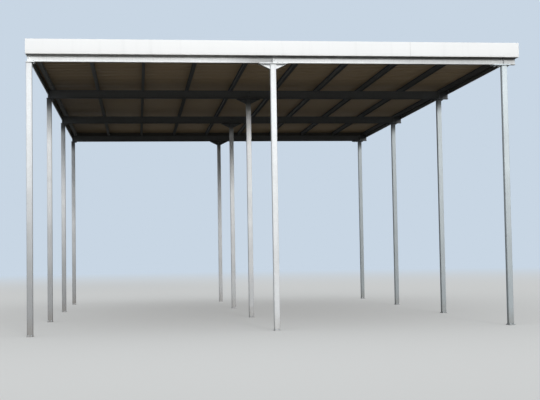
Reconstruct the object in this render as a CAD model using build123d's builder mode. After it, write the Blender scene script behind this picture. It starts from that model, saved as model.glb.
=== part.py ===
"""Open flat-roofed steel carport: twelve posts, four frames, purlins, deck and a white fascia."""
import math
import os

from build123d import *

os.makedirs("parts", exist_ok=True)

# Plan: posts stand on a grid, rows run along Y and frames run along X
bay_width = 5000.0
bay_depth = 5000.0
left_overhang = 60.0
right_overhang = 275.0
front_overhang = 205.0
back_overhang = 205.0
row_names = ["left", "centre", "right"]
frame_names = ["front", "second", "third", "back"]

# Heights
clear_height = 5565.0
fascia_height = 308.0
fascia_drop = 70.0

# Posts: square hollow section between a base plate and a seat plate for the beam
post_size = 120.0
post_wall = 8.0
post_corner = 20.0
base_plate_x = 120.0
base_plate_y = 240.0
base_plate_thickness = 16.0
anchor_spacing_x = 70.0
anchor_spacing_y = 190.0
anchor_hole = 18.0
drain_hole = 40.0
seat_plate_width = 200.0
seat_plate_thickness = 20.0

# Frame beams: rolled I-section, joined by end plates over the centre posts
beam_depth = 200.0
beam_width = 100.0
beam_flange = 8.5
beam_web = 5.6
beam_root = 12.0
beam_end_gap = 3.0
end_plate_thickness = 12.0
stiffener_thickness = 8.0

# Haunches: a web plate and a sloping flange under the seat plate of each centre post
haunch_length = 225.0
haunch_depth = 110.0
haunch_web = 8.0
haunch_flange = 8.0
haunch_seat_edge = 10.0

# How far a seat plate reaches from its post along the beam
seat_reach_short = 60.0
seat_reach_long = 200.0

# Purlins: rolled I-section along Y
purlin_count = 10
purlin_depth = 120.0
purlin_width = 64.0
purlin_flange = 6.3
purlin_web = 4.4
purlin_root = 7.0
purlin_inset_left = 140.0
purlin_inset_right = 95.0

# Roof deck: trapezoidal sheet, ribs along X
deck_names = ["front", "middle", "back"]
ribs_per_deck = 25
deck_sheet = 3.0
rib_height = 38.0
rib_crown = 44.0
rib_flank = 24.0
deck_edge_gap = 3.0

# Fascia: folded sheet with a bottom lip, a top return and a foot on the deck
fascia_sheet = 3.0
fascia_lip = 20.0
fascia_top_width = 60.0
fascia_foot = 70.0

# Places worked out from the sizes above
post_span = bay_width * (len(row_names) - 1)
frame_span = bay_depth * (len(frame_names) - 1)
roof_width = left_overhang + post_span + right_overhang
roof_depth = front_overhang + frame_span + back_overhang
roof_left = -roof_width / 2
roof_right = roof_width / 2
roof_front = -roof_depth / 2
roof_back = roof_depth / 2
row_x = [roof_left + left_overhang + bay_width * row for row in range(len(row_names))]
frame_y = [roof_front + front_overhang + bay_depth * frame for frame in range(len(frame_names))]
beam_top = clear_height + beam_depth
purlin_top = beam_top + purlin_depth
deck_top = purlin_top + rib_height
fascia_bottom = beam_top - fascia_drop
fascia_top = fascia_bottom + fascia_height


def rolled_section(depth, width, flange, web, root):
    """Rolled I-section, its web along local Y, centred on the origin."""
    pocket_width = (width - web) / 2
    pocket_centre = (width + web) / 4
    with BuildSketch() as section:
        Rectangle(width, depth)
        with Locations((-pocket_centre, 0), (pocket_centre, 0)):
            Rectangle(pocket_width, depth - 2 * flange, mode=Mode.SUBTRACT)
        web_corners = section.vertices().filter_by_position(Axis.X, -web / 2, web / 2)
        fillet(web_corners, radius=root)
    return section.sketch


def write(builder, name):
    """Labels a finished piece and writes it under the same name."""
    builder.part.label = name
    export_step(builder.part, f"parts/{name}.step")


beam_section = rolled_section(beam_depth, beam_width, beam_flange, beam_web, beam_root)
purlin_section = rolled_section(purlin_depth, purlin_width, purlin_flange, purlin_web, purlin_root)


# Seat plates reach to the left and right of their posts, flush with the outside of the left row
seat_reach_haunched = haunch_length + haunch_seat_edge
seat_reach = {
    "left": (0, seat_reach_short),
    "centre": (seat_reach_haunched, seat_reach_haunched),
    "right": (seat_reach_long, seat_reach_short),
}

# Posts: base plate with four anchor holes and a drain hole, shaft and seat plate welded together
post_bore = post_size - 2 * post_wall
post_top = clear_height - seat_plate_thickness
for frame, y in zip(frame_names, frame_y):
    for row, x in zip(row_names, row_x):
        foot = Plane((x, y, 0))
        reach_left, reach_right = seat_reach[row]
        seat_middle = ((reach_right - reach_left) / 2, 0)
        with BuildPart() as post:
            with BuildSketch(foot):
                Rectangle(base_plate_x, base_plate_y)
                with GridLocations(anchor_spacing_x, anchor_spacing_y, 2, 2):
                    Circle(anchor_hole / 2, mode=Mode.SUBTRACT)
                Circle(drain_hole / 2, mode=Mode.SUBTRACT)
            extrude(amount=base_plate_thickness)
            with BuildSketch(foot.offset(base_plate_thickness)):
                RectangleRounded(post_size, post_size, post_corner)
                RectangleRounded(post_bore, post_bore, post_corner - post_wall, mode=Mode.SUBTRACT)
            extrude(amount=post_top - base_plate_thickness)
            with BuildSketch(foot.offset(post_top)):
                with Locations(seat_middle):
                    Rectangle(post_size + reach_left + reach_right, seat_plate_width)
            extrude(amount=seat_plate_thickness)
        write(post, f"post_{frame}_{row}")


# Frame beams: a left and a right length, each with an end plate at the joint
# over the centre post and a pair of web stiffeners over its outer post
joint_x = row_x[1]
beam_end_inset = fascia_lip + beam_end_gap
beam_runs = {
    "left": (roof_left + beam_end_inset, joint_x - end_plate_thickness),
    "right": (joint_x + end_plate_thickness, roof_right - beam_end_inset),
}
end_plate_x = {"left": joint_x - end_plate_thickness, "right": joint_x}
stiffener_x = {"left": row_x[0], "right": row_x[-1]}
for frame, y in zip(frame_names, frame_y):
    for side, (start_x, end_x) in beam_runs.items():
        beam_middle = (0, y, clear_height + beam_depth / 2)
        beam_plane = Plane(origin=beam_middle, x_dir=(0, 1, 0), z_dir=(1, 0, 0))
        with BuildPart() as beam:
            with BuildSketch(beam_plane.offset(start_x)):
                add(beam_section)
            extrude(amount=end_x - start_x)
            with BuildSketch(beam_plane.offset(end_plate_x[side])):
                Rectangle(beam_width, beam_depth)
            extrude(amount=end_plate_thickness)
            with BuildSketch(beam_plane.offset(stiffener_x[side] - stiffener_thickness / 2)):
                Rectangle(beam_width, beam_depth - 2 * beam_flange)
            extrude(amount=stiffener_thickness)
        write(beam, f"beam_{frame}_{side}")


# Haunches: a left and a right solid at each centre post
haunch_slope = math.atan2(haunch_depth, haunch_length)
flange_run = haunch_flange / math.sin(haunch_slope)
flange_rise = haunch_flange / math.cos(haunch_slope)
for frame, y in zip(frame_names, frame_y):
    with BuildPart() as haunches:
        for side in (-1, 1):
            corner = Plane(
                origin=(row_x[1] + side * post_size / 2, y, post_top),
                x_dir=(side, 0, 0),
                z_dir=(0, -side, 0),
            )
            with BuildSketch(corner):
                Polygon((0, 0), (haunch_length, 0), (0, -haunch_depth), align=None)
            extrude(amount=haunch_web / 2, both=True)
            with BuildSketch(corner):
                Polygon(
                    (haunch_length, 0),
                    (haunch_length - flange_run, 0),
                    (0, -haunch_depth + flange_rise),
                    (0, -haunch_depth),
                    align=None,
                )
            extrude(amount=beam_width / 2, both=True)
    write(haunches, f"haunches_{frame}")


# Purlins: evenly spaced, resting on the beams and meeting both end fascias
purlin_first_x = roof_left + purlin_inset_left
purlin_last_x = roof_right - purlin_inset_right
purlin_pitch = (purlin_last_x - purlin_first_x) / (purlin_count - 1)
for number in range(purlin_count):
    purlin_start = (
        purlin_first_x + number * purlin_pitch,
        roof_front + fascia_sheet,
        beam_top + purlin_depth / 2,
    )
    with BuildPart() as purlin:
        with BuildSketch(Plane(origin=purlin_start, x_dir=(-1, 0, 0), z_dir=(0, 1, 0))):
            add(purlin_section)
        extrude(amount=roof_depth - 2 * fascia_sheet)
    write(purlin, f"purlin_{number + 1}")


# Roof deck: three fields of ribbed sheet that meet in the middle of a trough
deck_edge = fascia_sheet + deck_edge_gap
deck_width = roof_width - 2 * deck_edge
deck_field = (roof_depth - 2 * deck_edge) / len(deck_names)
rib_pitch = deck_field / ribs_per_deck
half_trough = (rib_pitch - rib_crown - 2 * rib_flank) / 2
rib_rise = rib_height - deck_sheet
for number, name in enumerate(deck_names):
    deck_start = (roof_left + deck_edge, roof_front + deck_edge + number * deck_field, purlin_top)
    underside = [(0, 0)]
    for rib in range(ribs_per_deck):
        rib_start = rib * rib_pitch + half_trough
        underside.append((rib_start, 0))
        underside.append((rib_start + rib_flank, rib_rise))
        underside.append((rib_start + rib_flank + rib_crown, rib_rise))
        underside.append((rib_start + 2 * rib_flank + rib_crown, 0))
    underside.append((deck_field, 0))
    upper_side = [(along, up + deck_sheet) for along, up in reversed(underside)]
    with BuildPart() as deck:
        with BuildSketch(Plane(origin=deck_start, x_dir=(0, 1, 0), z_dir=(1, 0, 0))):
            with BuildLine():
                Polyline(*underside, *upper_side, close=True)
            make_face()
        extrude(amount=deck_width)
    write(deck, f"deck_{name}")


# Fascia: one folded profile along each side of the roof, mitred at the corners
fascia_path = [
    (fascia_lip, fascia_bottom),
    (0, fascia_bottom),
    (0, fascia_top),
    (fascia_top_width, fascia_top),
    (fascia_top_width, deck_top + fascia_sheet),
    (fascia_top_width + fascia_foot, deck_top + fascia_sheet),
]
fascia_runs = {
    "front": (Vector(roof_left, roof_front), Vector(1, 0), Vector(0, 1), roof_width),
    "right": (Vector(roof_right, roof_front), Vector(0, 1), Vector(-1, 0), roof_depth),
    "back": (Vector(roof_right, roof_back), Vector(-1, 0), Vector(0, -1), roof_width),
    "left": (Vector(roof_left, roof_back), Vector(0, -1), Vector(1, 0), roof_depth),
}
for side, (corner, along, inward, length) in fascia_runs.items():
    with BuildPart() as fascia:
        with BuildSketch(Plane(origin=corner, x_dir=inward, z_dir=along)):
            with BuildLine():
                Polyline(*fascia_path)
                offset(amount=fascia_sheet, side=Side.RIGHT, kind=Kind.INTERSECTION)
            make_face()
        extrude(amount=length)
        split(bisect_by=Plane(origin=corner, z_dir=along - inward), keep=Keep.TOP)
        far_corner = corner + along * length
        split(bisect_by=Plane(origin=far_corner, z_dir=-along - inward), keep=Keep.TOP)
    write(fascia, f"fascia_{side}")
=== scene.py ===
"""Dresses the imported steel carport: materials, fixings, welds, sheet laps and fascia joints."""
import math
from itertools import product

import bpy
from mathutils import Matrix, Vector


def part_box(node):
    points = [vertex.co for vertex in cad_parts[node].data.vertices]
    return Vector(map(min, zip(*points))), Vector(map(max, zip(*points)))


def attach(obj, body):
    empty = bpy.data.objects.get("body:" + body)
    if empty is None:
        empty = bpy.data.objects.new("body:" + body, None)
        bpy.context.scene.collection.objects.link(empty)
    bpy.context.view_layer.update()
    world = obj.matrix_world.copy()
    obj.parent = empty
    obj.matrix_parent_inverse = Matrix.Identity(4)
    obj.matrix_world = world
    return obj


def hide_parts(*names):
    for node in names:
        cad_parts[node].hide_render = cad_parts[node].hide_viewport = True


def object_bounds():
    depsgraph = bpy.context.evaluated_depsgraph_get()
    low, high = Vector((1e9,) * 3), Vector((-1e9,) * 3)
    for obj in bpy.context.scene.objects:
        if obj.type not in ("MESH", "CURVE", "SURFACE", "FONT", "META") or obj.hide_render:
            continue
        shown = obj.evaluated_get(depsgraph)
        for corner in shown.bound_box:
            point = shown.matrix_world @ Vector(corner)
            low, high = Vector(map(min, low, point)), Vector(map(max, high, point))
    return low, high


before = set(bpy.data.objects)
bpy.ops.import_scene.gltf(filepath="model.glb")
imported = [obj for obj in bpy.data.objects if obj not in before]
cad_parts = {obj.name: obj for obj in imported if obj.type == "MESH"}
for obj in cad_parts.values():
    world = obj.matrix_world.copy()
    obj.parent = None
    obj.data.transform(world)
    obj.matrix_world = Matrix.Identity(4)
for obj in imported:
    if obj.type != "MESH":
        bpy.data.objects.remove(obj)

cad_low, cad_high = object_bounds()

FRAMES = ["front", "second", "third", "back"]
ROWS = ["left", "centre", "right"]
PURLINS = [f"purlin_{number}" for number in range(1, 11)]

# Sizes of the steelwork, in metres
CLEAR_HEIGHT = 5.565
BEAM_TOP = 5.765
PURLIN_TOP = 5.885
DECK_TOP = 5.923
FASCIA_BOTTOM = 5.695
FASCIA_TOP = 6.003
BASE_PLATE = 0.016
SEAT_PLATE = 0.020
POST_SIZE = 0.120
POST_CORNER = 0.020
BEAM_FLANGE = 0.0085
END_PLATE = 0.012
PURLIN_FLANGE = 0.0063
PURLIN_WEB = 0.0044
PURLIN_WIDTH = 0.064
HAUNCH_WEB = 0.008
HAUNCH_LENGTH = 0.225
HAUNCH_DEPTH = 0.110
DECK_SHEET = 0.003
DECK_EDGE = 0.006
RIBS = 75
RIBS_PER_SHEET = 5
FASCIA_SHEET = 0.003
FASCIA_LIP = 0.020
FASCIA_TOP_WIDTH = 0.060
FASCIA_FOOT = 0.070
FASCIA_BEND = 0.006
FASCIA_LENGTH = 7.96

# How far the seat plates of each row reach to the left and to the right of their posts
SEAT_REACH = {"left": (0.0, 0.060), "centre": (0.235, 0.235), "right": (0.200, 0.060)}

# Bolts, and how far they are from the middle of the joint, in metres
FRAME_BOLT = 0.016
PURLIN_BOLT = 0.012
CLEAT_BOLT = 0.008
ANCHOR_X = 0.035
ANCHOR_Y = 0.095
SEAT_BOLT_Y = 0.030
SPLICE_BOLT_Y = 0.028
PURLIN_BOLT_X = 0.0215
PURLIN_BOLT_Y = 0.030

# How far the bolts of each row's seat plates are from the post's face, to the left and to the right
SEAT_BOLT_X = {
    "left": ((), (0.030,)),
    "centre": ((0.045, 0.145), (0.045, 0.145)),
    "right": ((0.045, 0.135), (0.030,)),
}

# Heights of the splice bolts above the beam's underside
SPLICE_BOLT_Z = (0.055, 0.145)

# Parts of a bolt, as shares of its diameter
WASHER_HEIGHT = 0.19
WASHER_RADIUS = 0.93
WASHER_HOLE = 0.45
ACROSS_FLATS = 1.5
HEAD_HEIGHT = 0.63
NUT_HEIGHT = 0.81
THREAD_PITCH = 0.13

# Screws of the sheets: across the flats of the head, and its height
SCREW_HEAD = (0.008, 0.0045)

# Laps of the deck: their sheet, its clearance from a purlin, and how far it reaches before and behind the
# middle of the trough, above and below the deck
LAP_SHEET = 0.001
LAP_CLEARANCE = 0.001
LAP_ABOVE = (0.022, 0.016)
LAP_BELOW = (0.018, 0.024)

# Joints of the fascia and the straps behind them
JOINT_GAP = 0.0024
STRAP_SHEET = 0.0015
STRAP_REACH = 0.034

UP = Vector((0, 0, 1))
DOWN = Vector((0, 0, -1))
X = Vector((1, 0, 0))
Y = Vector((0, 1, 0))


def middle(node):
    """Centre of a CAD node's box."""
    low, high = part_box(node)
    return (low + high) / 2


# A seat plate reaches further to one side, so a post's axis isn't in the middle of its box
row_x = [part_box(f"post_front_{row}")[0].x + SEAT_REACH[row][0] + POST_SIZE / 2 for row in ROWS]
frame_y = [middle(f"post_{name}_left").y for name in FRAMES]
purlin_x = [middle(purlin).x for purlin in PURLINS]

# The roof spans the whole part, so the part's box gives its outline
roof_low, roof_high = cad_low, cad_high
deck_start = roof_low.y + DECK_EDGE
rib_pitch = (roof_high.y - roof_low.y - 2 * DECK_EDGE) / RIBS
trough_y = [deck_start + rib_pitch * number for number in range(RIBS + 1)]
crown_y = [deck_start + rib_pitch * (number + 0.5) for number in range(RIBS)]


# Nodes of the procedural materials


class Tree:
    """Adds nodes to a material or a world and links them."""

    def __init__(self, owner):
        owner.use_nodes = True
        self.tree = owner.node_tree
        self.nodes = self.tree.nodes

    def feed(self, socket, value):
        if isinstance(value, bpy.types.NodeSocket):
            self.tree.links.new(value, socket)
        else:
            socket.default_value = value

    def add(self, kind, inputs=None, **settings):
        node = self.nodes.new(kind)
        for key, value in settings.items():
            setattr(node, key, value)
        for key, value in (inputs or {}).items():
            self.feed(node.inputs[key], value)
        return node

    def math(self, operation, *values, clamp=False):
        node = self.add("ShaderNodeMath", operation=operation, use_clamp=clamp)
        for socket, value in zip(node.inputs, values):
            self.feed(socket, value)
        return node.outputs[0]

    def vector(self, operation, first, second):
        node = self.add("ShaderNodeVectorMath", operation=operation)
        self.feed(node.inputs[0], first)
        self.feed(node.inputs[1], second)
        return node.outputs["Value" if operation == "DOT_PRODUCT" else "Vector"]

    def span(self, value, low, high, to_low=0.0, to_high=1.0):
        """Maps low..high to to_low..to_high, with smooth ends."""
        node = self.add(
            "ShaderNodeMapRange",
            {"Value": value, "From Min": low, "From Max": high, "To Min": to_low, "To Max": to_high},
            interpolation_type="SMOOTHSTEP",
        )
        return node.outputs["Result"]

    def mix(self, factor, first, second, blend="MIX"):
        node = self.add("ShaderNodeMix", data_type="RGBA", blend_type=blend)
        self.feed(node.inputs["Factor"], factor)
        self.feed(node.inputs[6], first)
        self.feed(node.inputs[7], second)
        return node.outputs[2]

    def times(self, value, *factors):
        for factor in factors:
            value = self.math("MULTIPLY", value, factor)
        return value

    def shaded(self, paint, tone):
        """A colour times a tone."""
        shade = self.add("ShaderNodeCombineXYZ", {"X": tone, "Y": tone, "Z": tone}).outputs[0]
        return self.mix(1.0, paint, shade, "MULTIPLY")

    def upward(self):
        """How far the surface looks up: 1 is straight up, -1 straight down."""
        return self.axes(self.add("ShaderNodeNewGeometry").outputs["Normal"])["Z"]

    def noise(self, where, scale, detail=4.0, roughness=0.55):
        inputs = {"Vector": where, "Scale": scale, "Detail": detail, "Roughness": roughness}
        return self.add("ShaderNodeTexNoise", inputs).outputs["Fac"]

    def axes(self, where):
        return self.add("ShaderNodeSeparateXYZ", {"Vector": where}).outputs


# Painted shade on steel close under the roof behind the front frame: it starts and ends over these heights,
# and over this stretch along Y
ROOF_SHADE_RISE = (5.16, 5.48)
ROOF_SHADE_TOP = (5.870, 5.880)
ROOF_SHADE_INWARD = (-7.3, -6.8)
FIXINGS_ROOF_SHADE = 0.2


def colour(red, green, blue):
    return (red, green, blue, 1.0)


MUD = colour(0.23, 0.19, 0.15)
RUST = colour(0.26, 0.12, 0.05)
BOLT_DULL = colour(0.42, 0.43, 0.44)
BOLT_BRIGHT = colour(0.66, 0.67, 0.68)
WELD_DULL = colour(0.40, 0.42, 0.43)
WELD_BRIGHT = colour(0.62, 0.64, 0.65)
TAUPE = colour(0.465, 0.352, 0.222)
DECK_DUST = colour(0.30, 0.28, 0.24)
WHITE = colour(0.83, 0.835, 0.84)
GRIME = colour(0.36, 0.34, 0.30)
BACKING_COAT_WITH_PAINTED_SHADE = colour(0.17, 0.165, 0.155)

# Brightness of the pale bloom on zinc, times that of the zinc, and of the painted shade towards the foot
BLOOM = 1.16
FOOT_SHADE_LEVEL = 0.30

# How far up a surface looks where it starts and stops counting as one that looks down
LOOKS_DOWN = (-0.8, -0.4)
DECK_BENEATH = (-0.3, -0.1)


def surface(name, metallic, specular):
    """A material with its tree, its principled shader and the point in metres."""
    material = bpy.data.materials.new(name)
    tree = Tree(material)
    shader = tree.nodes["Principled BSDF"]
    shader.inputs["Metallic"].default_value = metallic
    shader.inputs["Specular IOR Level"].default_value = specular
    where = tree.add("ShaderNodeTexCoord").outputs["Object"]
    return material, tree, shader, where


def bump(tree, shader, height, distance, strength=1.0):
    inputs = {"Height": height, "Distance": distance, "Strength": strength}
    tree.feed(shader.inputs["Normal"], tree.add("ShaderNodeBump", inputs).outputs["Normal"])


def painted_roof_shade(tree, axes, level):
    """Painted shade: a tone that falls to level close under the roof behind the front frame."""
    high_up = tree.span(axes["Z"], *ROOF_SHADE_RISE)
    inward = tree.span(axes["Y"], *ROOF_SHADE_INWARD)
    under_deck = tree.span(axes["Z"], *ROOF_SHADE_TOP, 1.0, 0.0)
    return tree.math("MULTIPLY_ADD", tree.times(high_up, inward, under_deck), level - 1.0, 1.0)


def zinc_tone(tree, where, spangle, mottling, patches):
    """Tone of bare zinc: its crystals, mottling and patches, and rain run-off."""
    stretched = tree.vector("MULTIPLY", where, (26.0, 26.0, 0.9))
    runs = tree.span(tree.noise(stretched, 1.0, 4.0), 0.48, 0.72)
    tone = tree.math("MULTIPLY_ADD", spangle, 0.09, 0.80)
    tone = tree.math("MULTIPLY_ADD", mottling, 0.16, tone)
    tone = tree.math("MULTIPLY_ADD", patches, 0.18, tone)
    return tree.math("MULTIPLY_ADD", runs, -0.07, tone)


def bloom_and_foot_shade(tree, where, axes, patches, zinc, tint, foot_shade):
    """Zinc with pale bloom, and with painted shade that thins out upwards from the foot."""
    bloom = tree.span(tree.noise(where, 5.0, 6.0, 0.7), 0.60, 0.78, 0.0, 0.35)
    zinc = tree.mix(bloom, zinc, colour(*(min(1.0, BLOOM * part) for part in tint)))
    # Painted shade: the zinc darkens towards the foot
    overlay = tree.span(tree.math("MULTIPLY_ADD", patches, 1.2, axes["Z"]), 0.6, 5.6, foot_shade, 0.0)
    return tree.mix(overlay, zinc, colour(*(FOOT_SHADE_LEVEL * part / tint[1] for part in tint)))


def galvanised(name, tint, fades=(), below=1.0, roof_shade=1.0, splashes=0.0, foot_shade=0.0):
    """Dull hot-dip zinc: spangle, patches, run-off, splashes at the foot, and painted shade that deepens
    towards the foot.

    Each fade is an axis, a stretch along it and the tones at its two ends; the fades paint light and shade.
    below is the tone of faces that look down and the next argument that of steel close under the roof behind
    the front frame; both are painted shade.
    """
    material, tree, shader, where = surface(name, metallic=0.0, specular=0.2)
    axes = tree.axes(where)
    cells = tree.add("ShaderNodeTexVoronoi", {"Vector": where, "Scale": 80.0})
    spangle = tree.axes(cells.outputs["Color"])["X"]
    mottling = tree.noise(where, 11.0, 5.0)
    patches = tree.noise(where, 1.6, 4.0)
    # Painted shade close under the roof behind the front frame
    tone = tree.times(zinc_tone(tree, where, spangle, mottling, patches), painted_roof_shade(tree, axes, roof_shade))
    for axis, start, end, first, last in fades:
        tone = tree.times(tone, tree.span(axes[axis], start, end, first, last))
    upward = tree.upward()
    # Painted shade: faces that look down are darkened and lose their specular
    tone = tree.times(tone, tree.span(upward, *LOOKS_DOWN, below, 1.0))
    tree.feed(shader.inputs["Specular IOR Level"], tree.span(upward, *LOOKS_DOWN, 0.0, 0.2))
    zinc = bloom_and_foot_shade(tree, where, axes, patches, tree.shaded(colour(*tint), tone), tint, foot_shade)
    ragged = tree.math("MULTIPLY_ADD", tree.noise(where, 14.0, 6.0), 0.5, axes["Z"])
    splash = tree.span(ragged, 0.22, 0.75, splashes, 0.0)
    tree.feed(shader.inputs["Base Color"], tree.mix(splash, zinc, MUD))
    rough = tree.math("MULTIPLY_ADD", mottling, 0.22, 0.46)
    tree.feed(shader.inputs["Roughness"], tree.math("MULTIPLY_ADD", splash, 0.25, rough))
    grain = tree.math("MULTIPLY_ADD", tree.noise(where, 160.0, 3.0), 0.5, spangle)
    bump(tree, shader, grain, 0.0004, 0.35)
    return material


def bolt_zinc(name):
    """Bright zinc of bolts and screws, with a little rust where water stands, and painted shade close under
    the roof.
    """
    material, tree, shader, where = surface(name, metallic=0.6, specular=0.5)
    mottling = tree.noise(where, 60.0, 4.0)
    zinc = tree.mix(mottling, BOLT_DULL, BOLT_BRIGHT)
    zinc = tree.shaded(zinc, painted_roof_shade(tree, tree.axes(where), FIXINGS_ROOF_SHADE))
    rust = tree.span(tree.noise(where, 23.0, 6.0, 0.7), 0.60, 0.72, 0.0, 0.55)
    tree.feed(shader.inputs["Base Color"], tree.mix(rust, zinc, RUST))
    tree.feed(shader.inputs["Roughness"], tree.math("MULTIPLY_ADD", mottling, 0.3, 0.32))
    bump(tree, shader, mottling, 0.0002, 0.4)
    return material


def weld_metal(name):
    """Galvanised weld beads, rippled across their run, with painted shade close under the roof."""
    material, tree, shader, where = surface(name, metallic=0.0, specular=0.3)
    mottling = tree.noise(where, 90.0, 4.0)
    zinc = tree.mix(mottling, WELD_DULL, WELD_BRIGHT)
    zinc = tree.shaded(zinc, painted_roof_shade(tree, tree.axes(where), FIXINGS_ROOF_SHADE))
    tree.feed(shader.inputs["Base Color"], zinc)
    tree.feed(shader.inputs["Roughness"], tree.math("MULTIPLY_ADD", mottling, 0.3, 0.4))
    ripple = tree.add("ShaderNodeTexWave", {"Vector": where, "Scale": 90.0, "Distortion": 2.0})
    bump(tree, shader, ripple.outputs["Fac"], 0.0006, 0.6)
    return material


def sheet_tone(tree, where, clouds, rolled):
    """Tone of the deck's paint: each sheet of its own, with soft clouds and lines from rolling."""
    across = tree.math("SUBTRACT", tree.axes(where)["Y"], deck_start)
    sheet = tree.math("FLOOR", tree.math("DIVIDE", across, rib_pitch * RIBS_PER_SHEET))
    own = tree.add("ShaderNodeTexWhiteNoise", {"W": sheet}, noise_dimensions="1D").outputs["Value"]
    tone = tree.math("MULTIPLY_ADD", own, 0.14, 0.78)
    tone = tree.math("MULTIPLY_ADD", clouds, 0.22, tone)
    return tree.math("MULTIPLY_ADD", rolled, 0.08, tone)


def underside_painted_shade(tree, axes, beneath):
    """Painted shade on the deck's underside, darker to the left and behind the second frame."""
    outer = tree.span(axes["Y"], -4.5, -1.0, 0.70, 0.35)
    painted_shade = tree.times(tree.span(axes["X"], -5.6, -2.3, outer, 1.0),
                      tree.span(axes["Y"], -3.6, -2.3, 1.0, 0.82))
    return tree.math("MULTIPLY_ADD", beneath, tree.math("SUBTRACT", painted_shade, 1.0), 1.0)


def coated_sheet(name):
    """Taupe coated deck sheet, dusty in its troughs above, with painted shade on its underside."""
    material, tree, shader, where = surface(name, metallic=0.0, specular=0.25)
    axes = tree.axes(where)
    clouds = tree.noise(where, 1.1, 5.0)
    rolled = tree.noise(tree.vector("MULTIPLY", where, (0.7, 60.0, 60.0)), 1.0, 3.0)
    upward = tree.upward()
    beneath = tree.span(upward, *DECK_BENEATH, 1.0, 0.0)
    # Painted shade: the underside has less specular and is darkened to the left and behind the second frame
    tree.feed(shader.inputs["Specular IOR Level"], tree.span(upward, *DECK_BENEATH, 0.10, 0.25))
    tone = tree.times(sheet_tone(tree, where, clouds, rolled), underside_painted_shade(tree, axes, beneath))
    paint = tree.shaded(TAUPE, tone)
    low_lying = tree.span(axes["Z"], PURLIN_TOP + DECK_SHEET, DECK_TOP, 0.55, 0.18)
    patchy = tree.span(tree.noise(where, 3.0, 6.0, 0.7), 0.35, 0.70, 0.35, 1.0)
    overlay = tree.times(tree.span(upward, 0.3, 0.9), low_lying, patchy)
    tree.feed(shader.inputs["Base Color"], tree.mix(overlay, paint, DECK_DUST))
    rough = tree.math("MULTIPLY_ADD", clouds, 0.2, 0.55)
    tree.feed(shader.inputs["Roughness"], tree.math("MULTIPLY_ADD", overlay, 0.3, rough))
    grain = tree.math("MULTIPLY_ADD", tree.noise(where, 180.0, 2.0), 0.3, rolled)
    bump(tree, shader, grain, 0.0004, 0.3)
    return material


def fascia_inside(tree, axes):
    """1 on the inner side of the folded fascia, 0 on its outer side."""
    aside = [tree.math("SUBTRACT", high, tree.math("ABSOLUTE", axes[axis]))
             for high, axis in ((roof_high.x, "X"), (roof_high.y, "Y"))]
    inward = tree.math("MINIMUM", *aside)
    near, far = 0.0020, 0.0026
    fold = FASCIA_TOP_WIDTH - 0.0015
    return tree.times(
        tree.span(inward, near, far),
        tree.span(inward, fold - 0.0003, fold + 0.0003, 1.0, 0.0),
        tree.span(axes["Z"], FASCIA_BOTTOM + near, FASCIA_BOTTOM + far),
        tree.span(axes["Z"], FASCIA_TOP - far, FASCIA_TOP - near, 1.0, 0.0),
    )


def white_sheet(name):
    """White coated fascia: faint rain streaks, a grimy lower edge, and a backing coat inside whose dark grey
    is painted shade.
    """
    material, tree, shader, where = surface(name, metallic=0.0, specular=0.25)
    axes = tree.axes(where)
    clouds = tree.noise(where, 0.9, 4.0)
    stretched = tree.vector("MULTIPLY", where, (7.0, 7.0, 0.5))
    streaks = tree.span(tree.noise(stretched, 1.0, 6.0, 0.65), 0.50, 0.76)
    tone = tree.math("MULTIPLY_ADD", clouds, 0.05, 0.965)
    tone = tree.math("MULTIPLY_ADD", streaks, -0.035, tone)
    paint = tree.shaded(WHITE, tone)
    ragged = tree.math("MULTIPLY_ADD", tree.noise(where, 9.0, 6.0), 0.05, axes["Z"])
    edge = tree.span(ragged, FASCIA_BOTTOM + 0.015, FASCIA_BOTTOM + 0.06, 0.22, 0.0)
    patchy = tree.span(tree.noise(where, 6.0, 6.0, 0.7), 0.35, 0.75, 0.08, 0.40)
    settled = tree.times(tree.span(tree.upward(), 0.4, 0.95), patchy)
    face = tree.mix(tree.math("MAXIMUM", edge, settled), paint, GRIME)
    # The backing coat inside is real; its dark grey is painted shade
    paint = tree.mix(fascia_inside(tree, axes), face, BACKING_COAT_WITH_PAINTED_SHADE)
    tree.feed(shader.inputs["Base Color"], paint)
    tree.feed(shader.inputs["Roughness"], tree.math("MULTIPLY_ADD", streaks, 0.18, 0.50))
    ripples = tree.noise(where, 2.2, 2.0)
    fine = tree.noise(where, 220.0, 2.0)
    bump(tree, shader, tree.math("MULTIPLY_ADD", fine, 0.04, ripples), 0.0012, 0.35)
    return material


# Mesh pieces


class Shape:
    """Points and faces gathered for one joined mesh."""

    def __init__(self):
        self.points = []
        self.faces = []

    def add(self, points, faces):
        first = len(self.points)
        self.points += points
        self.faces += [tuple(first + corner for corner in face) for face in faces]

    def stamp(self, part, places):
        """Adds a copy of a (points, faces) part at each place matrix."""
        points, faces = part
        for place in places:
            self.add([place @ Vector(point) for point in points], faces)

    def piece(self, name, material, smooth=False):
        mesh = bpy.data.meshes.new(name)
        mesh.from_pydata([tuple(point) for point in self.points], [], self.faces)
        mesh.materials.append(material)
        if smooth:
            mesh.shade_smooth()
            mesh.set_sharp_from_angle(angle=math.radians(35))
        obj = bpy.data.objects.new(name, mesh)
        bpy.context.collection.objects.link(obj)
        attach(obj, "root")
        return obj


def lathe(profile, segments, closed=False):
    """Points and faces of a (radius, height) profile turned about Z; closed makes a ring."""
    points = []
    for step in range(segments):
        angle = math.tau * step / segments
        points += [(r * math.cos(angle), r * math.sin(angle), h) for r, h in profile]
    count = len(profile)
    faces = []
    for step in range(segments):
        here = step * count
        there = (step + 1) % segments * count
        for row in range(count if closed else count - 1):
            above = (row + 1) % count
            faces.append((here + row, there + row, there + above, here + above))
    if not closed:
        faces.append(tuple(step * count for step in reversed(range(segments))))
        faces.append(tuple(step * count + count - 1 for step in range(segments)))
    return points, faces


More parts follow.
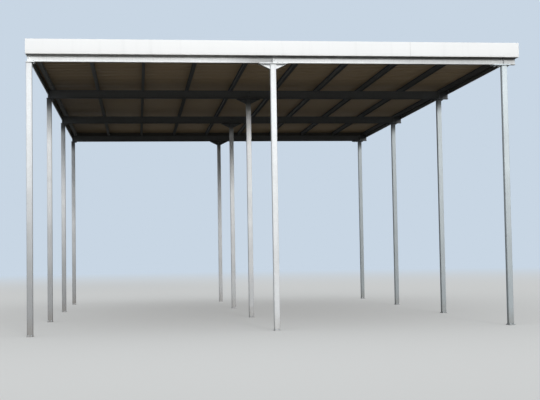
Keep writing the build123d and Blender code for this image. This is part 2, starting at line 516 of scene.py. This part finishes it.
def joined(*parts):
    """One (points, faces) part of several, each with a shift along Z."""
    shape = Shape()
    for part, shift in parts:
        shape.stamp(part, [Matrix.Translation(UP * shift)])
    return shape.points, shape.faces


def washer(outer, inner, thickness):
    edge = thickness * 0.25
    profile = [
        (inner, 0), (outer - edge, 0), (outer, edge),
        (outer, thickness - edge), (outer - edge, thickness), (inner, thickness),
    ]
    return lathe(profile, 20, closed=True)


def hexagon(across, height):
    """Chamfered hexagon head or nut, across its flats."""
    corner = across / math.sqrt(3)
    return lathe([(corner, 0), (corner, 0.82 * height), (0.88 * corner, height)], 6)


def thread(diameter, length, pitch):
    """Threaded bolt end with a chamfered tip."""
    radius = diameter / 2
    root = radius - 0.55 * pitch
    profile = []
    for turn in range(max(1, int(length / pitch))):
        profile += [(root, turn * pitch), (radius, (turn + 0.5) * pitch)]
    profile += [(root, length - 0.3 * pitch), (0.75 * root, length)]
    return lathe(profile, 14)


def bolt_washer(size):
    return washer(WASHER_RADIUS * size, WASHER_HOLE * size, WASHER_HEIGHT * size)


def bolt_head(size):
    """Head and washer of a bolt of that size, standing on Z 0."""
    head = hexagon(ACROSS_FLATS * size, HEAD_HEIGHT * size)
    return joined((bolt_washer(size), 0), (head, WASHER_HEIGHT * size))


def bolt_nut(size, beyond):
    """Washer, nut and thread end of a bolt of that size, standing on Z 0."""
    thick = WASHER_HEIGHT * size
    nut = NUT_HEIGHT * size
    return joined(
        (bolt_washer(size), 0),
        (hexagon(ACROSS_FLATS * size, nut), thick),
        (thread(size, beyond, THREAD_PITCH * size), thick + nut),
    )


def facing(point, direction, turn=0.0):
    """Place matrix at a point with local Z along direction."""
    spin = Matrix.Rotation(turn, 4, "Z")
    return Matrix.Translation(point) @ direction.to_track_quat("Z", "Y").to_matrix().to_4x4() @ spin


def bead(shape, start, end, first, second, leg=0.005):
    """Fillet weld from start to end in the corner of two faces that first and second leave."""
    section = [Vector(), leg * first, 0.62 * leg * (first + second), leg * second]
    points = [start + offset for offset in section] + [end + offset for offset in section]
    faces = [(0, 1, 5, 4), (1, 2, 6, 5), (2, 3, 7, 6), (3, 0, 4, 7), (3, 2, 1, 0), (4, 5, 6, 7)]
    if (end - start).dot(first.cross(second)) > 0:
        faces = [tuple(reversed(face)) for face in faces]
    shape.add(points, faces)


def block(shape, low, high):
    """Thin plate from its lowest to its highest corner, its upper and lower rims bevelled."""
    rim = 0.2 * min(high[axis] - low[axis] for axis in range(3))
    points = []
    for z, inset in ((low[2], rim), (low[2] + rim, 0), (high[2] - rim, 0), (high[2], rim)):
        points += [
            Vector((low[0] + inset, low[1] + inset, z)), Vector((high[0] - inset, low[1] + inset, z)),
            Vector((high[0] - inset, high[1] - inset, z)), Vector((low[0] + inset, high[1] - inset, z)),
        ]
    faces = [(3, 2, 1, 0), (12, 13, 14, 15)]
    for ring in (0, 4, 8):
        for corner in range(4):
            after = (corner + 1) % 4
            faces.append((ring + corner, ring + after, ring + 4 + after, ring + 4 + corner))
    shape.add(points, faces)


def angle_cleat(shape, corner, first, second, along, leg, thickness, length):
    """Rolled angle: legs from its corner along first and second, centred on corner along its length."""
    inner = 0.6 * thickness
    section = [
        Vector((0, 0)), Vector((leg, 0)), Vector((leg, thickness - inner / 2)),
        Vector((leg - inner / 2, thickness)), Vector((thickness + inner, thickness)),
        Vector((thickness, thickness + inner)), Vector((thickness, leg - inner / 2)),
        Vector((thickness - inner / 2, leg)), Vector((0, leg)),
    ]
    count = len(section)
    points = []
    for end in (-length / 2, length / 2):
        points += [corner + first * point.x + second * point.y + along * end for point in section]
    faces = [tuple(range(count)), tuple(reversed(range(count, 2 * count)))]
    for here in range(count):
        after = (here + 1) % count
        faces.append((here + count, after + count, after, here))
    if first.cross(second).dot(along) > 0:
        faces = [tuple(reversed(face)) for face in faces]
    shape.add(points, faces)


# Fixings of the steelwork. Each bolt is turned by an angle of its own, worked out from its place.


def anchors(material):
    """Nut, washer and threaded end on each of the four anchors of every base plate."""
    shape = Shape()
    top = bolt_nut(FRAME_BOLT, beyond=0.014)
    radius = FRAME_BOLT / 2
    stem = lathe([(radius, 0), (radius, BASE_PLATE)], 14)
    for x, y, dx, dy in product(row_x, frame_y, (-ANCHOR_X, ANCHOR_X), (-ANCHOR_Y, ANCHOR_Y)):
        turn = 7.3 * x + 3.1 * y + 40 * dx + 9 * dy
        shape.stamp(top, [facing(Vector((x + dx, y + dy, BASE_PLATE)), UP, turn)])
        shape.stamp(stem, [Matrix.Translation((x + dx, y + dy, 0))])
    shape.piece("anchor_bolts", material, smooth=True)


def seat_bolts(material):
    """Pairs of bolts through the seat plates into the beam's bottom flange."""
    shape = Shape()
    head = bolt_head(FRAME_BOLT)
    nut = bolt_nut(FRAME_BOLT, beyond=0.006)
    to_left = {row: [-POST_SIZE / 2 - out for out in SEAT_BOLT_X[row][0]] for row in ROWS}
    to_right = {row: [POST_SIZE / 2 + out for out in SEAT_BOLT_X[row][1]] for row in ROWS}
    for y, (row, middle_x), dy in product(frame_y, zip(ROWS, row_x), (-SEAT_BOLT_Y, SEAT_BOLT_Y)):
        for out in to_left[row] + to_right[row]:
            x = middle_x + out
            turn = 5.1 * x + 2.3 * y + 17 * dy
            shape.stamp(head, [facing(Vector((x, y + dy, CLEAR_HEIGHT + BEAM_FLANGE)), UP, turn)])
            shape.stamp(nut, [facing(Vector((x, y + dy, CLEAR_HEIGHT - SEAT_PLATE)), DOWN, turn)])
    shape.piece("seat_bolts", material, smooth=True)


def splice_bolts(material):
    """Four bolts through the two end plates over each centre post."""
    shape = Shape()
    head = bolt_head(FRAME_BOLT)
    nut = bolt_nut(FRAME_BOLT, beyond=0.006)
    for y, dy, dz in product(frame_y, (-SPLICE_BOLT_Y, SPLICE_BOLT_Y), SPLICE_BOLT_Z):
        turn = 4.7 * y + 21 * dy + 13 * dz
        spot = Vector((row_x[1], y + dy, CLEAR_HEIGHT + dz))
        shape.stamp(head, [facing(spot - X * END_PLATE, -X, turn)])
        shape.stamp(nut, [facing(spot + X * END_PLATE, X, turn)])
    shape.piece("splice_bolts", material, smooth=True)


def purlin_bolts(material):
    """Two bolts at each crossing, on opposite corners of the purlin's bottom flange."""
    shape = Shape()
    head = bolt_head(PURLIN_BOLT)
    nut = bolt_nut(PURLIN_BOLT, beyond=0.005)
    for x, y, side in product(purlin_x, frame_y, (-1, 1)):
        spot = Vector((x + PURLIN_BOLT_X * side, y - PURLIN_BOLT_Y * side, BEAM_TOP))
        turn = 6.1 * x + 2.9 * y + side
        shape.stamp(head, [facing(spot + UP * PURLIN_FLANGE, UP, turn)])
        shape.stamp(nut, [facing(spot - UP * BEAM_FLANGE, DOWN, turn)])
    shape.piece("purlin_bolts", material, smooth=True)


def post_outline():
    """Points and outward directions round a post's rounded square section."""
    flat = POST_SIZE / 2 - POST_CORNER
    outline = []
    for quarter in range(4):
        middle_way = math.radians(45 + 90 * quarter)
        across = math.copysign(flat, math.cos(middle_way))
        along = math.copysign(flat, math.sin(middle_way))
        centre = Vector((across, along, 0))
        for step in range(6):
            angle = math.radians(90 * quarter + 18 * step)
            outward = Vector((math.cos(angle), math.sin(angle), 0))
            outline.append((centre + outward * POST_CORNER, outward))
    return outline


# Stretches of a post's outline, as numbers of its points
BACK_SIDE = range(2, 10)
FRONT_SIDE = range(14, 22)
ALL_BUT_LEFT = [*range(14, 24), *range(10)]


def post_bead(shape, centre, section, stretch=None):
    """Weld round a post, or along a stretch of it with thin ends: an (outward, upward) section swept."""
    outline = post_outline()
    stops = stretch or range(len(outline))
    ends = (0, len(stops) - 1) if stretch else ()
    count = len(section)
    points = []
    for number, stop in enumerate(stops):
        point, outward = outline[stop]
        size = 0.3 if number in ends else 1.0
        points += [centre + point + outward * out * size + UP * up * size for out, up in section]
    faces = []
    for here in range(len(stops) - 1 if stretch else len(stops)):
        after = (here + 1) % len(stops)
        for corner in range(count):
            beyond = (corner + 1) % count
            faces.append((here * count + corner, after * count + corner,
                          after * count + beyond, here * count + beyond))
    if stretch:
        faces.append(tuple(range(count)))
        faces.append(tuple(reversed(range(len(points) - count, len(points)))))
    shape.add(points, faces)


def post_beads(shape, x, y, row):
    """Welds of a post to its plates, on the sides where a plate is wider than the post."""
    foot = [(0, 0), (0.006, 0), (0.004, 0.004), (0, 0.006)]
    top = [(0, -0.005), (0.0012, -0.004), (0.0012, -0.001), (0, 0)]
    for stretch in (BACK_SIDE, FRONT_SIDE):
        post_bead(shape, Vector((x, y, BASE_PLATE)), foot, stretch)
    wider = ALL_BUT_LEFT if row == "left" else None
    post_bead(shape, Vector((x, y, CLEAR_HEIGHT - SEAT_PLATE)), top, wider)


def haunch_beads(shape, y, side):
    """Welds of one haunch to its centre post and to the seat plate."""
    face = row_x[1] + side * POST_SIZE / 2
    top = CLEAR_HEIGHT - SEAT_PLATE
    toe = top - HAUNCH_DEPTH
    margin = 0.02
    end = face + side * (HAUNCH_LENGTH - margin)
    for edge in (-1, 1):
        web = y + edge * HAUNCH_WEB / 2
        bead(shape, Vector((face, web, toe + margin)), Vector((face, web, top)), Y * edge, X * side)
        bead(shape, Vector((face, web, top)), Vector((end, web, top)), Y * edge, DOWN)
    half = 0.04
    bead(shape, Vector((face, y - half, toe)), Vector((face, y + half, toe)), DOWN, X * side, leg=0.004)


def welds(material):
    """Beads at the ends of each post and round every haunch, a piece for each frame."""
    for name, y in zip(FRAMES, frame_y):
        shape = Shape()
        for row, x in zip(ROWS, row_x):
            post_beads(shape, x, y, row)
        for side in (-1, 1):
            haunch_beads(shape, y, side)
        shape.piece(f"welds_{name}", material)


# Roof sheets and fascia


def deck_screws(material):
    """A self-drilling screw with its sealing washer in every trough over every purlin."""
    shape = Shape()
    cup = lathe([(0.008, 0), (0.0082, 0.0012), (0.006, 0.0024), (0.0045, 0.0026)], 12)
    screw = joined((cup, 0), (hexagon(*SCREW_HEAD), 0.0024))
    level = PURLIN_TOP + DECK_SHEET
    for number, y in enumerate(trough_y[1:-1], start=1):
        lift = LAP_SHEET if number % RIBS_PER_SHEET == 0 else 0.0
        for x in purlin_x:
            # Set by hand, so a few millimetres off the line
            aside = 0.006 * math.sin(5 * y + x)
            ahead = 0.004 * math.cos(9 * x + y)
            spot = Vector((x + aside, y + ahead, level + lift))
            shape.stamp(screw, [facing(spot, UP, 11 * x + 7 * y)])
    shape.piece("deck_screws", material)


def deck_laps(material):
    """Side laps: the upper sheet's edge on top, the lower sheet's edge between the purlins below."""
    upper = Shape()
    lower = Shape()
    start = roof_low.x + DECK_EDGE
    end = roof_high.x - DECK_EDGE
    reach = PURLIN_WIDTH / 2 + LAP_CLEARANCE
    stops = [start - reach] + purlin_x + [end + reach]
    for y in trough_y[RIBS_PER_SHEET:-1:RIBS_PER_SHEET]:
        level = PURLIN_TOP + DECK_SHEET
        block(upper, (start, y - LAP_ABOVE[0], level), (end, y + LAP_ABOVE[1], level + LAP_SHEET))
        for here, after in zip(stops, stops[1:]):
            low = (here + reach, y - LAP_BELOW[0], PURLIN_TOP - LAP_SHEET)
            block(lower, low, (after - reach, y + LAP_BELOW[1], PURLIN_TOP))
    upper.piece("deck_side_laps", material)
    lower.piece("deck_side_laps_below", material)


def rounded(path):
    """Points and headings along a folded path whose bends are rounded."""
    line = [(path[0], (path[1] - path[0]).normalized())]
    for before, here, after in zip(path, path[1:], path[2:]):
        come = (here - before).normalized()
        go = (after - here).normalized()
        left_turn = come.x * go.y - come.y * go.x > 0
        radius = FASCIA_BEND - FASCIA_SHEET if left_turn else FASCIA_BEND
        sign = 1 if left_turn else -1
        centre = here - come * radius + sign * Vector((-come.y, come.x)) * radius
        for step in range(5):
            angle = sign * math.radians(22.5 * step)
            heading = Vector((come.x * math.cos(angle) - come.y * math.sin(angle),
                              come.x * math.sin(angle) + come.y * math.cos(angle)))
            line.append((centre - sign * Vector((-heading.y, heading.x)) * radius, heading))
    return line + [(path[-1], (path[-1] - path[-2]).normalized())]


def fascia_profile(inward_offset, thickness):
    """Closed (inward, height) profile of the folded fascia, its bends rounded."""
    line = rounded([
        Vector((FASCIA_LIP, FASCIA_BOTTOM)), Vector((0, FASCIA_BOTTOM)), Vector((0, FASCIA_TOP)),
        Vector((FASCIA_TOP_WIDTH, FASCIA_TOP)), Vector((FASCIA_TOP_WIDTH, DECK_TOP + FASCIA_SHEET)),
        Vector((FASCIA_TOP_WIDTH + FASCIA_FOOT, DECK_TOP + FASCIA_SHEET)),
    ])
    outer, inner = [
        [point + Vector((heading.y, -heading.x)) * offset for point, heading in line]
        for offset in (inward_offset, inward_offset + thickness)
    ]
    return outer + inner[::-1]


def fascia_length(shape, profile, side, start, end):
    """Sweeps the profile along one side; an end of None is mitred at the corner."""
    corner, along, inward, length = side
    count = len(profile)
    half = count // 2
    points = []
    for stop, at_start in ((start, True), (end, False)):
        for point in profile:
            place = stop
            if stop is None:
                place = point.x if at_start else length - point.x
            points.append(corner + along * place + inward * point.x + UP * point.y)
    faces = []
    for here in range(count):
        after = (here + 1) % count
        faces.append((here, after, after + count, here + count))
    for here in range(half - 1):
        faces.append((here, here + 1, count - 2 - here, count - 1 - here)[::-1])
        faces.append(tuple(count + at for at in (here, here + 1, count - 2 - here, count - 1 - here)))
    shape.add(points, [face[::-1] for face in faces])


def fascia_sides():
    """Corner, direction, inward direction and length of each side, and where its joint lies."""
    width = roof_high.x - roof_low.x
    depth = roof_high.y - roof_low.y
    return {
        "front": ((Vector((roof_low.x, roof_low.y, 0)), X, Y, width), FASCIA_LENGTH),
        "right": ((Vector((roof_high.x, roof_low.y, 0)), Y, -X, depth), FASCIA_LENGTH),
        "back": ((Vector((roof_high.x, roof_high.y, 0)), -X, -Y, width), width - FASCIA_LENGTH),
        "left": ((Vector((roof_low.x, roof_high.y, 0)), -Y, X, depth), depth - FASCIA_LENGTH),
    }


def fascia(material):
    """Fascia lengths with an open joint over an inner strap on each side; they stand for the solids."""
    sheet = fascia_profile(0.0, FASCIA_SHEET)
    strap = fascia_profile(FASCIA_SHEET, STRAP_SHEET)
    straps = Shape()
    for name, (side, joint) in fascia_sides().items():
        shape = Shape()
        fascia_length(shape, sheet, side, None, joint - JOINT_GAP / 2)
        fascia_length(shape, sheet, side, joint + JOINT_GAP / 2, None)
        panel = shape.piece(f"fascia_lengths_{name}", material, smooth=True)
        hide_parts(f"fascia_{name}")
        fascia_length(straps, strap, side, joint - STRAP_REACH, joint + STRAP_REACH)
    straps.piece("fascia_joint_straps", material, smooth=True)


def fascia_screws(material):
    """Screws through the fascia's foot: along a crown at front and back, on every second crown beside."""
    shape = Shape()
    cup = lathe([(0.007, 0), (0.0072, 0.001), (0.005, 0.002)], 12)
    screw = joined((cup, 0), (hexagon(*SCREW_HEAD), 0.0018))
    level = DECK_TOP + FASCIA_SHEET
    foot = FASCIA_TOP_WIDTH + FASCIA_FOOT / 2
    spots = []
    count = 29
    margin = 0.2
    for number in range(count):
        x = roof_low.x + margin + (roof_high.x - roof_low.x - 2 * margin) * number / (count - 1)
        spots += [(x, crown_y[0]), (x, crown_y[-1])]
    for y in crown_y[2:-2:2]:
        spots += [(roof_low.x + foot, y), (roof_high.x - foot, y)]
    for x, y in spots:
        shape.stamp(screw, [facing(Vector((x, y, level)), UP, 13 * x + 5 * y)])
    shape.piece("fascia_foot_screws", material)


def purlin_cleats(shape, heads, head):
    """An angle at both ends of each purlin, bolted to its web."""
    leg, thickness, length = 0.040, 0.004, 0.080
    level = (BEAM_TOP + PURLIN_TOP) / 2
    for x, (y, inward) in product(purlin_x, ((roof_low.y, Y), (roof_high.y, -Y))):
        corner = Vector((x + PURLIN_WEB / 2, y, level)) + inward * FASCIA_SHEET
        angle_cleat(shape, corner, inward, X, UP, leg, thickness, length)
        for lift in (-0.022, 0.022):
            spot = corner + inward * 0.024 + X * thickness + UP * lift
            heads.stamp(head, [facing(spot, X, 30 * lift + x)])


def beam_cleats(shape, heads, head):
    """An angle on top of both ends of each frame's beam."""
    leg, thickness, length = 0.060, 0.005, 0.080
    for y, (x, inward) in product(frame_y, ((roof_low.x, X), (roof_high.x, -X))):
        corner = Vector((x, y, BEAM_TOP)) + inward * FASCIA_SHEET
        angle_cleat(shape, corner, inward, UP, Y, leg, thickness, length)
        for shift in (-0.028, 0.028):
            spot = corner + inward * 0.040 + UP * thickness + Y * shift
            heads.stamp(head, [facing(spot, UP, 30 * shift + y)])


def fascia_cleats(steel, zinc):
    """Angles that hold the fascia to the purlins and the beams, with their bolts."""
    shape = Shape()
    heads = Shape()
    head = bolt_head(CLEAT_BOLT)
    purlin_cleats(shape, heads, head)
    beam_cleats(shape, heads, head)
    shape.piece("fascia_cleats", steel)
    heads.piece("fascia_cleat_bolts", zinc)


# Finish on the CAD nodes


# Painted light and shade on the zinc of the frames and purlins, as fades: an axis, a stretch along it and
# the tones at its two ends
# Left front beam: painted light at its far left end, darker towards the joint, painted light on its end
# plate, and the fascia's shadow painted along its top
LEFT_BEAM_PAINTED_LIGHT = [
    ("X", -5.0, -3.5, 1.08, 1.0), ("X", -1.4, -0.2, 1.0, 0.56), ("X", -0.112, -0.104, 1.0, 1.6),
    ("Z", 5.640, 5.675, 1.0, 0.9),
]
# Right front beam: painted shade towards its right end, and the fascia's shadow painted along its top
RIGHT_BEAM_PAINTED_SHADE = [("X", 1.2, 3.7, 1.0, 0.76), ("Z", 5.640, 5.675, 1.0, 0.55)]
# Inner beams: painted shade on their stubs beyond the right posts
INNER_BEAM_PAINTED_SHADE = [("X", 4.89, 4.97, 1.0, 0.5)]
# Purlins: painted light towards the left and painted shade towards the right
PURLIN_PAINTED_LIGHT = [("X", -5.2, -0.2, 2.0, 1.0), ("X", 1.2, 3.7, 1.0, 0.68)]
# Posts: painted light on the centre posts behind the front, a little less on the back one; on the right row
# painted shade towards the back and painted light towards the top
POST_PAINTED_LIGHT = {
    "left": [],
    "centre": [("Y", -6.5, -3.5, 1.0, 1.13), ("Y", 3.0, 7.0, 1.0, 0.93)],
    "right": [("Y", -1.0, 4.5, 1.0, 0.75), ("Z", 4.0, 5.2, 1.0, 1.09)],
}
# Painted shade that deepens towards the foot of the posts, for each row and for the front centre post
POST_FOOT_SHADES = {"left": 1.0, "centre": 0.70, "right": 0.80}
FRONT_POST_FOOT_SHADE = 0.44
POST_TINTS = {"left": (0.82, 0.84, 0.86), "centre": (0.86, 0.88, 0.90), "right": (0.62, 0.685, 0.72)}
BEAM_TINT = (0.87, 0.89, 0.90)
# Zinc of the inner beams, inner haunches and purlins: the same zinc as the front beams, darkened as painted
# shade
SHADED_ZINC_TINT = (0.20, 0.21, 0.22)


def post_zinc(name, row, foot_shade, fades=()):
    # Posts: painted shade on faces that look down, close under the roof and towards the foot; mud splashes
    # at the foot
    return galvanised(
        f"galvanised_post_{name}", POST_TINTS[row], fades, below=0.3, roof_shade=0.15, splashes=0.35, foot_shade=foot_shade,
    )


def frame_finishes():
    """Zinc of each kind of node of the frames, with a few nodes of their own."""
    # The inner beams and haunches take the darkened zinc, painted shade
    inner = galvanised("galvanised_inner_beam_painted_shade", SHADED_ZINC_TINT, INNER_BEAM_PAINTED_SHADE, below=0.8)
    return {
        **{("post", row): post_zinc(row, row, POST_FOOT_SHADES[row], POST_PAINTED_LIGHT[row]) for row in ROWS},
        "post_front_centre": post_zinc("front_centre", "centre", FRONT_POST_FOOT_SHADE),
        "beam": inner,
        "haunches": inner,
        "beam_front_left": galvanised("galvanised_beam_left", BEAM_TINT, LEFT_BEAM_PAINTED_LIGHT, below=0.5),
        "beam_front_right": galvanised("galvanised_beam_right", BEAM_TINT, RIGHT_BEAM_PAINTED_SHADE, below=0.5),
        "haunches_front": galvanised("galvanised_haunch", BEAM_TINT, below=0.5),
        "purlin": galvanised("galvanised_purlin_painted_shade", SHADED_ZINC_TINT, PURLIN_PAINTED_LIGHT, below=0.8),
    }


def finish_nodes(finishes):
    """Gives every CAD node its own material, that of its kind and row, or that of its kind."""
    for name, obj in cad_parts.items():
        kind = name.split("_")[0]
        last = name.split("_")[-1]
        obj.data.materials.clear()
        obj.data.materials.append(finishes.get(name) or finishes.get((kind, last)) or finishes[kind])


# Stage, light and camera


def floor():
    """Wide pale floor: dark for light that bounces, and fading into the backdrop far away."""
    rings = [0.0, 6.0, 12.0, 20.0, 40.0, 80.0, 160.0, 320.0]
    segments = 64
    points = [(0, 0, 0)]
    for radius in rings[1:]:
        points += [(radius * math.cos(math.tau * step / segments),
                    radius * math.sin(math.tau * step / segments), 0) for step in range(segments)]
    faces = [(0, 1 + step, 1 + (step + 1) % segments) for step in range(segments)]
    for ring in range(len(rings) - 2):
        inner = 1 + ring * segments
        outer = inner + segments
        for step in range(segments):
            after = (step + 1) % segments
            faces.append((inner + step, outer + step, outer + after, inner + after))
    mesh = bpy.data.meshes.new("floor")
    mesh.from_pydata(points, [], faces)
    obj = bpy.data.objects.new("floor", mesh)
    bpy.context.collection.objects.link(obj)
    mesh.materials.append(floor_material())


def seen(tree):
    """1 for rays that see the background: camera, glossy and transmission rays."""
    path = tree.add("ShaderNodeLightPath").outputs
    both = tree.math("MAXIMUM", path["Is Camera Ray"], path["Is Glossy Ray"])
    return tree.math("MAXIMUM", both, path["Is Transmission Ray"])


BACKDROP = colour(0.578, 0.672, 0.776)
FLOOR_SEEN = colour(0.84, 0.84, 0.83)
# Beneath the roof the floor bounces less light than ahead and behind: a painted shadow of the roof
BOUNCE_AHEAD = colour(0.155, 0.143, 0.126)
BOUNCE_BENEATH = colour(0.050, 0.046, 0.040)
BOUNCE_BEHIND = colour(0.120, 0.110, 0.097)
OVERCAST = colour(0.92, 0.97, 1.0)

# Where the floor fades into the backdrop, and where the light that it bounces changes along Y
FLOOR_FADE = (18.0, 90.0)
FRONT_CHANGE = (-9.0, -1.5)
BACK_CHANGE = (1.5, 9.0)


def floor_material():
    material = bpy.data.materials.new("floor")
    tree = Tree(material)
    tree.nodes.clear()
    where = tree.add("ShaderNodeTexCoord").outputs["Object"]
    lit = tree.add("ShaderNodeBsdfDiffuse", {"Color": FLOOR_SEEN}).outputs[0]
    glow = tree.add("ShaderNodeEmission", {"Color": FLOOR_SEEN, "Strength": 0.7}).outputs[0]
    near = tree.add("ShaderNodeMixShader", {0: 0.45, 1: lit, 2: glow}).outputs[0]
    far = tree.add("ShaderNodeEmission", {"Color": BACKDROP, "Strength": 1.0}).outputs[0]
    distance = tree.add("ShaderNodeVectorMath", {0: where}, operation="LENGTH").outputs["Value"]
    away = tree.span(distance, *FLOOR_FADE)
    pale = tree.add("ShaderNodeMixShader", {0: away, 1: near, 2: far}).outputs[0]
    along = tree.axes(where)["Y"]
    bounce = tree.mix(tree.span(along, *FRONT_CHANGE), BOUNCE_AHEAD, BOUNCE_BENEATH)
    bounce = tree.mix(tree.span(along, *BACK_CHANGE), bounce, BOUNCE_BEHIND)
    dark = tree.add("ShaderNodeBsdfDiffuse", {"Color": bounce}).outputs[0]
    both = tree.add("ShaderNodeMixShader", {0: seen(tree), 1: dark, 2: pale}).outputs[0]
    tree.add("ShaderNodeOutputMaterial", {"Surface": both})
    return material


# The overcast light's level rises along a direction, from a mean and not below a least level
SKY_RISE = (-0.03, -0.30, 0.25)
SKY_MEAN = 0.50
SKY_LEAST = 0.05


def sky():
    """Plain pale background, and a soft overcast light that is stronger above and in front."""
    world = bpy.data.worlds.new("studio")
    bpy.context.scene.world = world
    tree = Tree(world)
    tree.nodes.clear()
    way = tree.add("ShaderNodeTexCoord").outputs["Generated"]
    level = tree.vector("DOT_PRODUCT", way, SKY_RISE)
    level = tree.math("MAXIMUM", tree.math("ADD", level, SKY_MEAN), SKY_LEAST)
    light = tree.add("ShaderNodeBackground", {"Color": OVERCAST, "Strength": level})
    plain = tree.add("ShaderNodeBackground", {"Color": BACKDROP, "Strength": 1.0})
    both = tree.add("ShaderNodeMixShader", {0: seen(tree), 1: light.outputs[0], 2: plain.outputs[0]})
    tree.add("ShaderNodeOutputWorld", {"Surface": both.outputs[0]})


def key_lamp():
    """Wide low sun from the front right, as through haze."""
    lamp = bpy.data.lights.new("key", "SUN")
    lamp.energy = 1.78
    lamp.angle = math.radians(10.5)
    lamp.color = (1.0, 0.985, 0.96)
    obj = bpy.data.objects.new("key", lamp)
    bpy.context.collection.objects.link(obj)
    aside = math.radians(10)
    rise = math.radians(8.0)
    towards = -Vector((math.sin(aside) * math.cos(rise), -math.cos(aside) * math.cos(rise), math.sin(rise)))
    obj.matrix_world = towards.to_track_quat("-Z", "Y").to_matrix().to_4x4()


def front_lamp():
    """Large soft panel high up before the front, a little left of the middle."""
    lamp = bpy.data.lights.new("panel", "AREA")
    lamp.shape = "RECTANGLE"
    lamp.size = 12.0
    lamp.size_y = 4.0
    lamp.energy = 150.0
    lamp.color = (0.97, 0.99, 1.0)
    obj = bpy.data.objects.new("panel", lamp)
    bpy.context.collection.objects.link(obj)
    place = Vector((-1.5, -17.5, 9.0))
    target = Vector((-0.5, -7.5, 4.0))
    turn = (target - place).to_track_quat("-Z", "Y").to_matrix().to_4x4()
    obj.matrix_world = Matrix.Translation(place) @ turn
    obj.visible_camera = False


def camera():
    """Camera fitted to the photograph's posts, beams and roof edges."""
    place = Vector((-2.9528, -29.4263, 1.5405))
    yaw = math.radians(7.1210)
    pitch = math.radians(3.0113)
    roll = math.radians(-0.9233)
    forward = Vector((math.sin(yaw) * math.cos(pitch), math.cos(yaw) * math.cos(pitch), math.sin(pitch)))
    level = Vector((math.cos(yaw), -math.sin(yaw), 0))
    upright = level.cross(forward)
    right = math.cos(roll) * level + math.sin(roll) * upright
    up = math.cos(roll) * upright - math.sin(roll) * level
    data = bpy.data.cameras.new("camera")
    data.sensor_fit = "HORIZONTAL"
    data.sensor_width = 36.0
    data.lens = 71.0255
    data.clip_end = 1000.0
    obj = bpy.data.objects.new("camera", data)
    bpy.context.collection.objects.link(obj)
    turn = Matrix((right, up, -forward)).transposed().to_4x4()
    obj.matrix_world = Matrix.Translation(place) @ turn
    bpy.context.scene.camera = obj


finishes = frame_finishes()
deck_paint = coated_sheet("taupe_deck_sheet")
white_paint = white_sheet("white_fascia_sheet")
zinc_bolts = bolt_zinc("zinc_fixings")
weld_zinc = weld_metal("galvanised_welds")

finish_nodes({**finishes, "deck": deck_paint, "fascia": white_paint})
anchors(zinc_bolts)
seat_bolts(zinc_bolts)
splice_bolts(zinc_bolts)
purlin_bolts(zinc_bolts)
welds(weld_zinc)
deck_screws(zinc_bolts)
deck_laps(deck_paint)
fascia(white_paint)
fascia_screws(zinc_bolts)
fascia_cleats(finishes["haunches_front"], zinc_bolts)
floor()
sky()
key_lamp()
front_lamp()
camera()

bpy.context.scene.view_settings.view_transform = "Standard"
